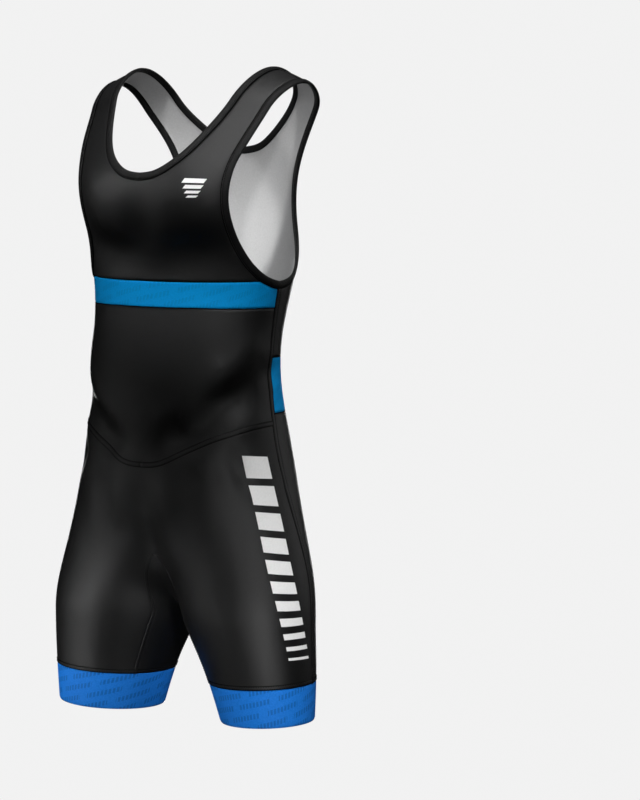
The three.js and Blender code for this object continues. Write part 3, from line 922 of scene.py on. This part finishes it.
def stitches(name, runs, material):
    """Short raised threads, evenly along each run of points with their normals."""
    points, faces = [], []
    turn = np.linspace(0, 2 * math.pi, STITCH_SIDES, endpoint=False)
    for line, normals in runs:
        run = run_along(line)
        count = max(int(run[-1] / STITCH_PITCH), 1)
        at = (np.arange(count) + 0.5) * run[-1] / count

        def along(values, s):
            return np.stack([np.interp(s, run, values[:, k]) for k in range(3)], 1)

        middle, up = along(line, at), unit(along(normals, at))
        ahead = unit(along(line, at + 1) - along(line, at - 1))
        across = np.cross(up, ahead)
        rings = []
        for t, size, lift in STITCH:
            centre = middle + ahead * t * STITCH_LENGTH + up * lift
            round_it = (
                across[:, None] * np.cos(turn)[None, :, None]
                + up[:, None] * np.sin(turn)[None, :, None])
            rings.append(centre[:, None] + STITCH_RADIUS * size * round_it)
        block = np.stack(rings, 1).reshape(-1, 3)
        start = sum(len(p) for p in points)
        size = len(STITCH) * STITCH_SIDES
        for k in range(count):
            faces += tube_faces(len(STITCH), STITCH_SIDES, False, start + k * size)
        points.append(block)
    return make_mesh(name, np.concatenate(points), faces, [material], mend=True)


tape_runs = []
for section in TAPE_STITCHES:
    rings, normals = round_neck([section])
    tape_runs.append((rings[:, 0], normals))
    for _, side in HANDS:
        rings, normals = tape_section(arm_edge, arm_inside, side, [section])
        tape_runs.append((rings[:, 0], normals))
place_piece(stitches("stitches_tape", tape_runs, thread_and_shade), "black_binding")

# Seams: each is a line of places on the left half


def line_of(place, down):
    return np.stack(np.broadcast_arrays(place, down), 1).astype(float)


SEAM_STEPS, CHEST_SEAM_STEPS = 90, 60
SIDE_SEAM_POINTS, GUSSET_SEAM_POINTS, BACK_SEAM_POWER = 220, 90, 1.8
SIDE_SEAM_BELOW, GUSSET_SEAM_BELOW, HEM_SEAM_ABOVE = 8.5, 0.5, 3.4

share = even(SEAM_STEPS)
side_foot = float(band_top(SIDE_PLACE + SIDE_SHIFT))
front_foot = float(band_top(GUSSET_FRONT(BELOW_ALL)))
back_foot = float(band_top(1 - GUSSET_BACK(BELOW_ALL)))
side_down = np.linspace(CHEST_TOP + SIDE_SEAM_BELOW, side_foot, SIDE_SEAM_POINTS)
gusset_down = np.linspace(GUSSET_TIP + GUSSET_SEAM_BELOW, front_foot, GUSSET_SEAM_POINTS)
back_share = np.linspace(0, 1, GUSSET_SEAM_POINTS) ** BACK_SEAM_POWER
back_gusset_down = mix(GUSSET_TOP_BACK, back_foot, back_share)
SEAMS = {
    "side": line_of(side_seam(side_down), side_down),
    "waist": line_of(side_seam(WAIST_SEAM(share)) * share, WAIST_SEAM(share)),
    "chest_top": straight((0, CHEST_TOP), arm_front_in[NECK_ROWS + CENTRE_ROWS], CHEST_SEAM_STEPS),
    "chest_bottom": line_of(SIDE_PLACE * share, CHEST_BOTTOM),
    "back_top": line_of(mix(SIDE_PLACE, 1, share), back_band_top(share)),
    "back_bottom": line_of(mix(SIDE_PLACE, 1, share), BACK_BOTTOM),
    "gusset_front": line_of(GUSSET_FRONT(gusset_down), gusset_down),
    "gusset_back": line_of(1 - GUSSET_BACK(back_gusset_down), back_gusset_down),
    "hem": line_of(round_leg, band_top(round_leg) - HEM_SEAM_ABOVE),
}


def seam_line(name):
    """A seam's line, and whether it closes; a closed one doesn't come back to its first point."""
    closed = name == "hem"
    return (SEAMS[name][:-1] if closed else SEAMS[name]), closed


def on_cloth(line, across, side, lift):
    return laid(moved(line, np.full(len(line), float(across))), side, lift)


def seam_rings(line, side, section):
    return np.stack([on_cloth(line, across, side, lift)[0] for across, lift in section], 1)


def flat_section(half, high, low=-0.5):
    """A low strip with a slight dip along its middle."""
    return [
        (-half, -0.15), (-0.9 * half, 0.65 * high), (-0.55 * half, high), (0, 0.8 * high),
        (0.55 * half, high), (0.9 * half, 0.65 * high), (half, -0.15), (0.8 * half, low),
        (-0.8 * half, low),
    ]


def inner_section(half, high):
    """A seam allowance on the inside of the cloth."""
    top = -WALL - high
    return [(-half, -WALL + 0.1), (-0.8 * half, top), (0.8 * half, top), (half, -WALL + 0.1)]


# name, half width and height of its strip, and how far its stitch rows are from its middle
OUTSIDE = [
    ("side", 3.4, 0.75, 2.2),
    ("waist", 2.9, 0.42, 1.9),
    ("gusset_front", 2.2, 0.4, 1.3),
    ("gusset_back", 2.2, 0.4, 1.3),
    ("hem", 2.3, 0.45, 1.6),
]
strips, seam_runs = [], []
for name, half, high, row in OUTSIDE:
    line, closed = seam_line(name)
    for _, side in HANDS:
        strips.append((seam_rings(line, side, flat_section(half, high)), closed))
        for across in (-row, row):
            seam_runs.append(on_cloth(line, across, side, high))

SHOULDER_END, SHOULDER_POINTS = 0.008, 30
SHOULDER_HALF, SHOULDER_HIGH, SHOULDER_ROW, SHOULDER_CREASE = 2.4, 0.55, 1.5, 2.6
shoulder = np.linspace(
    float(neck_front[0, 0]) + SHOULDER_END, float(arm_front[0, 0]) - SHOULDER_END, SHOULDER_POINTS)


def shoulder_point(across, lift, side):
    """Points beside the shoulder seam: minus across is on the back."""
    place = shoulder if across >= 0 else 1 - shoulder
    return surface(place, np.full(len(place), abs(float(across))), side, lift)


def shoulder_rings(side, section):
    return np.stack([shoulder_point(across, lift, side)[0] for across, lift in section], 1)


for _, side in HANDS:
    strips.append((shoulder_rings(side, flat_section(SHOULDER_HALF, SHOULDER_HIGH)), False))
    for across in (-SHOULDER_ROW, SHOULDER_ROW):
        seam_runs.append(shoulder_point(across, SHOULDER_HIGH, side))
place_piece(tubes("seam_strips", strips, black_knit), "black_knit")

# Painted shade: a flat dark strip in the crease on each side of a strip, along the bands and inside the
# tapes, standing for the dark line of shade there, in the dark thread's colour

SHADE_STRIP = ((-0.55, 0.0), (-0.4, 0.22), (0.4, 0.22), (0.55, 0.0), (0, -0.5))
SUNK, TAPE_SUNK = -0.25, -0.15
CREASES = [
    ("side", 0, (-3.6, 3.6)),
    ("waist", 0, (-2.9, 2.9)),
    ("hem", 0, (-2.5, 2.5)),
    ("chest_top", SUNK, (0.2,)),
    ("chest_bottom", SUNK, (0,)),
    ("back_top", SUNK, (0,)),
    ("back_bottom", SUNK, (0,)),
]


def shade_strip_section(across, lift, part=SHADE_STRIP):
    return [(across + a, high + lift) for a, high in part]


shade_strips = []
for name, lift, places in CREASES:
    line, closed = seam_line(name)
    for _, side in HANDS:
        for across in places:
            shade_strips.append((seam_rings(line, side, shade_strip_section(across, lift)), closed))
# Inside the tapes the strip is painted shadow: the dark line where the cloth is drawn in beside the
# binding
tape_shade_strip = shade_strip_section(PINCH_AT, TAPE_SUNK)
shade_strips.append((round_neck(tape_shade_strip)[0], True))
for _, side in HANDS:
    shade_strips.append((tape_section(arm_edge, arm_inside, side, tape_shade_strip)[0], True))
    for across in (-SHOULDER_CREASE, SHOULDER_CREASE):
        shade_strips.append((shoulder_rings(side, shade_strip_section(across, 0, SHADE_STRIP[:4])), False))
place_piece(tubes("seam_crease_shade", shade_strips, thread_and_shade), "black_knit")
place_piece(stitches("stitches_seams", seam_runs, thread_and_shade), "black_knit")

ALLOWANCE, SIDE_ALLOWANCE, ALLOWANCE_HIGH = 3.4, 4.2, 0.6
allowances = []
for name in SEAMS:
    section = inner_section(SIDE_ALLOWANCE if name == "side" else ALLOWANCE, ALLOWANCE_HIGH)
    line, closed = seam_line(name)
    for _, side in HANDS:
        allowances.append((seam_rings(line, side, section), closed))
place_piece(tubes("seam_insides", allowances, grey_thread), "black_knit")

# Prints: plain slanted bars, as corners a across and b along a patch of cloth in millimetres

PATCH_REACH, PATCH_POINTS = 0.35, 1401
PATH_STEPS, PATH_ROWS = 280, 21


def unrolled(q):
    """A place that has run past a centre line, as a place and a side of 1 or -1."""
    over = (q > 1) | (q < 0)
    return np.where(q > 1, 2 - q, np.abs(q)), np.where(over, -1, 1)


def within(corners, s, t):
    """The point at shares s and t of a patch with four corners in turn."""
    a, b, c, d = corners
    return a * (1 - s) * (1 - t) + b * s * (1 - t) + c * s * t + d * (1 - s) * t


class RingPatch:
    """A patch round the body at one height: a runs round it and b down it."""

    def __init__(self, place, down, side):
        self.q = np.linspace(place - PATCH_REACH, place + PATCH_REACH, PATCH_POINTS)
        at, flip = unrolled(self.q)
        points = body(at, np.full(len(at), float(down)))
        points[:, 0] *= flip
        run = run_along(points)
        self.run = run - np.interp(place, self.q, run)
        self.down, self.side = down, side

    def at(self, a, b):
        place, flip = unrolled(np.interp(a, self.run, self.q))
        return place, self.down + b, flip * self.side


class PathPatch:
    """A patch along a line of places: a runs across it, to the front, and b along it."""

    def __init__(self, points, half, side):
        line = edge(points)(even(PATH_STEPS))
        self.run = run_along(body(line[:, 0], line[:, 1]))
        self.across = np.linspace(-half, half, PATH_ROWS)
        self.grid = np.stack([moved(line, np.full(len(line), -a)) for a in self.across])
        self.side = side

    def at(self, a, b):
        row = np.interp(a, self.across, np.arange(len(self.across)))
        column = np.interp(b, self.run, np.arange(len(self.run)))
        i = np.clip(row.astype(int), 0, len(self.across) - 2)
        j = np.clip(column.astype(int), 0, len(self.run) - 2)
        s, t = (row - i)[..., None], (column - j)[..., None]
        grid = self.grid
        at = within((grid[i, j], grid[i + 1, j], grid[i + 1, j + 1], grid[i, j + 1]), s, t)
        return at[..., 0], at[..., 1], np.full(at.shape[:-1], self.side)


PRINT_TOP, PRINT_FOOT, PRINT_CELL = 0.16, -0.5, 1.6


def print_mesh(name, patch, shapes, material):
    """Thin raised shapes on the cloth, each given by its four corners in turn."""
    points, faces = [], []
    start = 0
    for corners in shapes:
        a, b, c, d = np.array(corners, float)
        wide = max(np.linalg.norm(b - a), np.linalg.norm(c - d))
        long = max(np.linalg.norm(d - a), np.linalg.norm(c - b))
        n, m = max(int(wide / PRINT_CELL), 1) + 1, max(int(long / PRINT_CELL), 1) + 1
        s, t = np.meshgrid(np.linspace(0, 1, n), np.linspace(0, 1, m), indexing="ij")
        ab = within((a, b, c, d), s[..., None], t[..., None])
        place, down, side = patch.at(ab[..., 0], ab[..., 1])
        for lift in (PRINT_TOP, PRINT_FOOT):
            points.append(surface(place, down, side, lift)[0].reshape(-1, 3))
        index = np.arange(n * m).reshape(n, m) + start
        quads = np.stack(cell_corners(index), -1).reshape(-1, 4)
        rim = np.concatenate([index[:, 0], index[-1, 1:], index[-2::-1, -1], index[0, -2:0:-1]])
        ahead = np.roll(rim, -1)
        faces += quads.tolist() + (quads[:, ::-1] + n * m).tolist()
        faces += np.stack([rim, ahead, ahead + n * m, rim + n * m], 1).tolist()
        start += 2 * n * m
    return make_mesh(name, np.concatenate(points), faces, [material], mend=True, crease=40)


EMBLEM_SHIFT, EMBLEM_TOP, EMBLEM_LEAN = 2.5, -11, -3
# b, height and width of each bar
EMBLEM_BARS = ((0, 5.2, 28), (7.6, 4.2, 23), (14.2, 3.2, 18), (19.8, 2.4, 13))


def bar(a, b, wide, high, drop=0, lean=0):
    """The corners of a bar, with its far end lower by drop and its foot shifted by lean."""
    return [(a, b), (a + wide, b + drop), (a + wide + lean, b + high + drop), (a + lean, b + high)]


def stacked_bars(wide, heights, gap, slant, top):
    """Slanted bars one under another, each slant higher at its front end."""
    shapes, b = [], top
    for high in heights:
        shapes.append(bar(-wide / 2, b, wide, high, drop=slant))
        b += high + gap
    return shapes


def emblem(scale):
    """A short stack of leaning bars, each narrower than the one before."""
    shapes = []
    for b, high, wide in EMBLEM_BARS:
        shapes.append(bar(EMBLEM_SHIFT - wide / 2, EMBLEM_TOP + b, wide, high, lean=EMBLEM_LEAN))
    return [[(a * scale, b * scale) for a, b in corners] for corners in shapes]


def side_by_side(widths, gap, high, slant):
    """Bars of one height in a row, each slanted by the same."""
    shapes, a = [], -(sum(widths) + gap * (len(widths) - 1)) / 2
    for wide in widths:
        shapes.append(bar(a + slant, -high / 2, wide, high, lean=-2 * slant))
        a += wide + gap
    return shapes


def broken_lines(lines, wide, gap):
    """Thin lines in dashes, each line given by where it is across and the lengths of its dashes."""
    shapes = []
    for a, lengths in lines:
        b = 0
        for long in lengths:
            shapes.append(bar(a - wide / 2, b, wide, long))
            b += long + gap
    return shapes


THIGH_LINE = [(0.378, 512), (0.402, 590), (0.436, 680), (0.462, 740), (0.479, 798)]
THIGH_BARS = (29, 26, 23, 20.5, 18, 15.5, 13, 10.5, 8, 5.5, 3.5)
BAND_BARS = (4, 7, 10.5, 14.5, 19, 14.5, 10.5, 7, 4)
SMALL_LINES = ((-5, (9, 14, 7, 11, 16)), (0, (12, 6, 15, 9, 8, 13)), (5, (7, 10, 13)))

thigh = PathPatch(THIGH_LINE, 24, 1)
for printed in (
    ("print_thigh", thigh, stacked_bars(36, THIGH_BARS, 9.5, -9, 12), white_print),
    ("print_chest", RingPatch(0.148, 178, 1), emblem(1.0), white_print),
    ("print_back", RingPatch(1.0, 186, 1), emblem(1.1), white_print),
    ("print_band", RingPatch(1.0, 435, 1), side_by_side(BAND_BARS, 8.5, 36, 5), black_print),
    ("print_small", RingPatch(0.615, 600, -1), broken_lines(SMALL_LINES, 1.8, 3.2), white_print),
):
    place_piece(print_mesh(*printed))

# Stage, lights and camera

PAPER = 0.885
FLOOR_HALF, FLOOR_AT = 12, -1.25
# The dome round the scene: places from 0.5 at the horizon to 1 straight up, each with its tone
DOME = ((0.46, 0.0), (0.7, 0.12), (0.95, 1.0))
AMBIENT = 0.3

floor_mesh = bpy.data.meshes.new("floor")
floor_mesh.from_pydata(
    [(x * FLOOR_HALF, y * FLOOR_HALF, FLOOR_AT) for x, y in ((-1, -1), (1, -1), (1, 1), (-1, 1))],
    [], [(0, 1, 2, 3)])
floor = add_object("floor", floor_mesh)
floor_material, nodes, links, shader = new_material("floor")
nodes.remove(shader)
glow = add_node(nodes, "Emission", Color=grey(PAPER))
links.new(glow.outputs["Emission"], nodes["Material Output"].inputs["Surface"])
floor_mesh.materials.append(floor_material)
floor.visible_diffuse = False
floor.visible_glossy = False
floor.visible_shadow = False

world = bpy.data.worlds.new("studio")
bpy.context.scene.world = world
world.use_nodes = True
nodes, links = world.node_tree.nodes, world.node_tree.links
shown = nodes["Background"]
shown.inputs["Color"].default_value = grey(PAPER)
ambient = add_node(nodes, "Background", Strength=AMBIENT)
coords = add_node(nodes, "TexCoord")
split = add_node(nodes, "SeparateXYZ")
links.new(coords.outputs["Generated"], split.inputs["Vector"])
dome = add_node(nodes, "ValToRGB")
elements = dome.color_ramp.elements
elements.new(DOME[1][0])
for element, (position, tone) in zip(elements, DOME):
    element.position = position
    element.color = grey(tone)
lifted = math_node(nodes, links, "MULTIPLY_ADD", split.outputs["Z"], 0.5, 0.5)
links.new(lifted, dome.inputs["Fac"])
links.new(dome.outputs["Color"], ambient.inputs["Color"])
ray = add_node(nodes, "LightPath")
choose = add_node(nodes, "MixShader")
links.new(ray.outputs["Is Camera Ray"], choose.inputs["Fac"])
links.new(ambient.outputs["Background"], choose.inputs[1])
links.new(shown.outputs["Background"], choose.inputs[2])
links.new(choose.outputs["Shader"], nodes["World Output"].inputs["Surface"])

TORSO_MIDDLE = (0, 0, -0.45)
# name, the point it is aimed at, azimuth, elevation and distance from there, size in metres
# (softboxes) or width of the cone in degrees (spots), watts
SOFTBOXES = [
    ("top", TORSO_MIDDLE, 62, 70, 3.0, 1.4, 52),
    ("left", TORSO_MIDDLE, -62, -6, 3.0, 1.4, 4.5),
    ("right", TORSO_MIDDLE, 146, 10, 3.0, 1.3, 9),
    ("back", TORSO_MIDDLE, 214, -5, 3.6, 2.0, 90),
]
SPOTS = [
    ("upper_chest", (0.02, -0.13, -0.03), 10, 50, 2.8, 8, 290),
    ("near_chest", (0.05, -0.13, -0.15), 30, 14, 2.8, 7, 210),
    ("far_chest", (-0.06, -0.12, -0.145), -44, 14, 2.8, 6.5, 200),
    ("near_thigh", (0.15, -0.12, -0.65), 52, 2, 3.2, 10, 195),
    ("far_thigh", (-0.17, -0.12, -0.66), -34, 4, 3.2, 10, 80),
    ("near_hem", (0.13, -0.1, -0.8), 34, -10, 3.2, 8, 235),
    ("far_hem", (-0.12, -0.1, -0.78), -30, -10, 3.2, 7.5, 310),
]
SPOT_RADIUS = 0.14


def light(kind, name, aim, azimuth, elevation, distance, size, watts):
    data = bpy.data.lights.new(name, kind)
    data.energy = watts
    if kind == "AREA":
        data.shape = "DISK"
        data.size = size
    else:
        data.spot_size = math.radians(size)
        data.spot_blend = 1
        data.shadow_soft_size = SPOT_RADIUS
    azimuth, elevation = math.radians(azimuth), math.radians(elevation)
    flat = math.cos(elevation)
    away = Vector((math.sin(azimuth) * flat, -math.cos(azimuth) * flat, math.sin(elevation)))
    lamp = add_object(name, data)
    lamp.location = Vector(aim) + away * distance
    lamp.rotation_euler = away.to_track_quat("Z", "Y").to_euler()


for row in SOFTBOXES:
    light("AREA", *row)
for row in SPOTS:
    light("SPOT", *row)

# A small lamp in the hollow: the inside of the cloth is evenly grey in the picture
HOLLOW_AT, HOLLOW_RADIUS, HOLLOW_WATTS = (0, -0.02, -0.11), 0.08, 0.07
hollow = bpy.data.lights.new("hollow", "POINT")
hollow.energy = HOLLOW_WATTS
hollow.shadow_soft_size = HOLLOW_RADIUS
hollow_lamp = add_object("hollow", hollow)
hollow_lamp.location = HOLLOW_AT
hollow_lamp.visible_camera = False
hollow_lamp.visible_glossy = False

AZIMUTH = math.radians(35)
DISTANCE, CAMERA_HEIGHT = 3.8, -0.065
YAW, PITCH = math.radians(-32.79), math.radians(-5.588)
FOCAL_PIXELS, LONG_SIDE_PIXELS, SENSOR = 2883, 800, 36

camera_data = bpy.data.cameras.new("camera")
camera_data.sensor_width = SENSOR
camera_data.lens = FOCAL_PIXELS / LONG_SIDE_PIXELS * SENSOR
camera_data.clip_end = 100
camera = add_object("camera", camera_data)
camera.location = (math.sin(AZIMUTH) * DISTANCE, -math.cos(AZIMUTH) * DISTANCE, CAMERA_HEIGHT)
look = Vector((math.sin(YAW) * math.cos(PITCH), math.cos(YAW) * math.cos(PITCH), math.sin(PITCH)))
camera.rotation_euler = look.to_track_quat("-Z", "Y").to_euler()
bpy.context.scene.camera = camera
bpy.context.scene.view_settings.view_transform = "Standard"
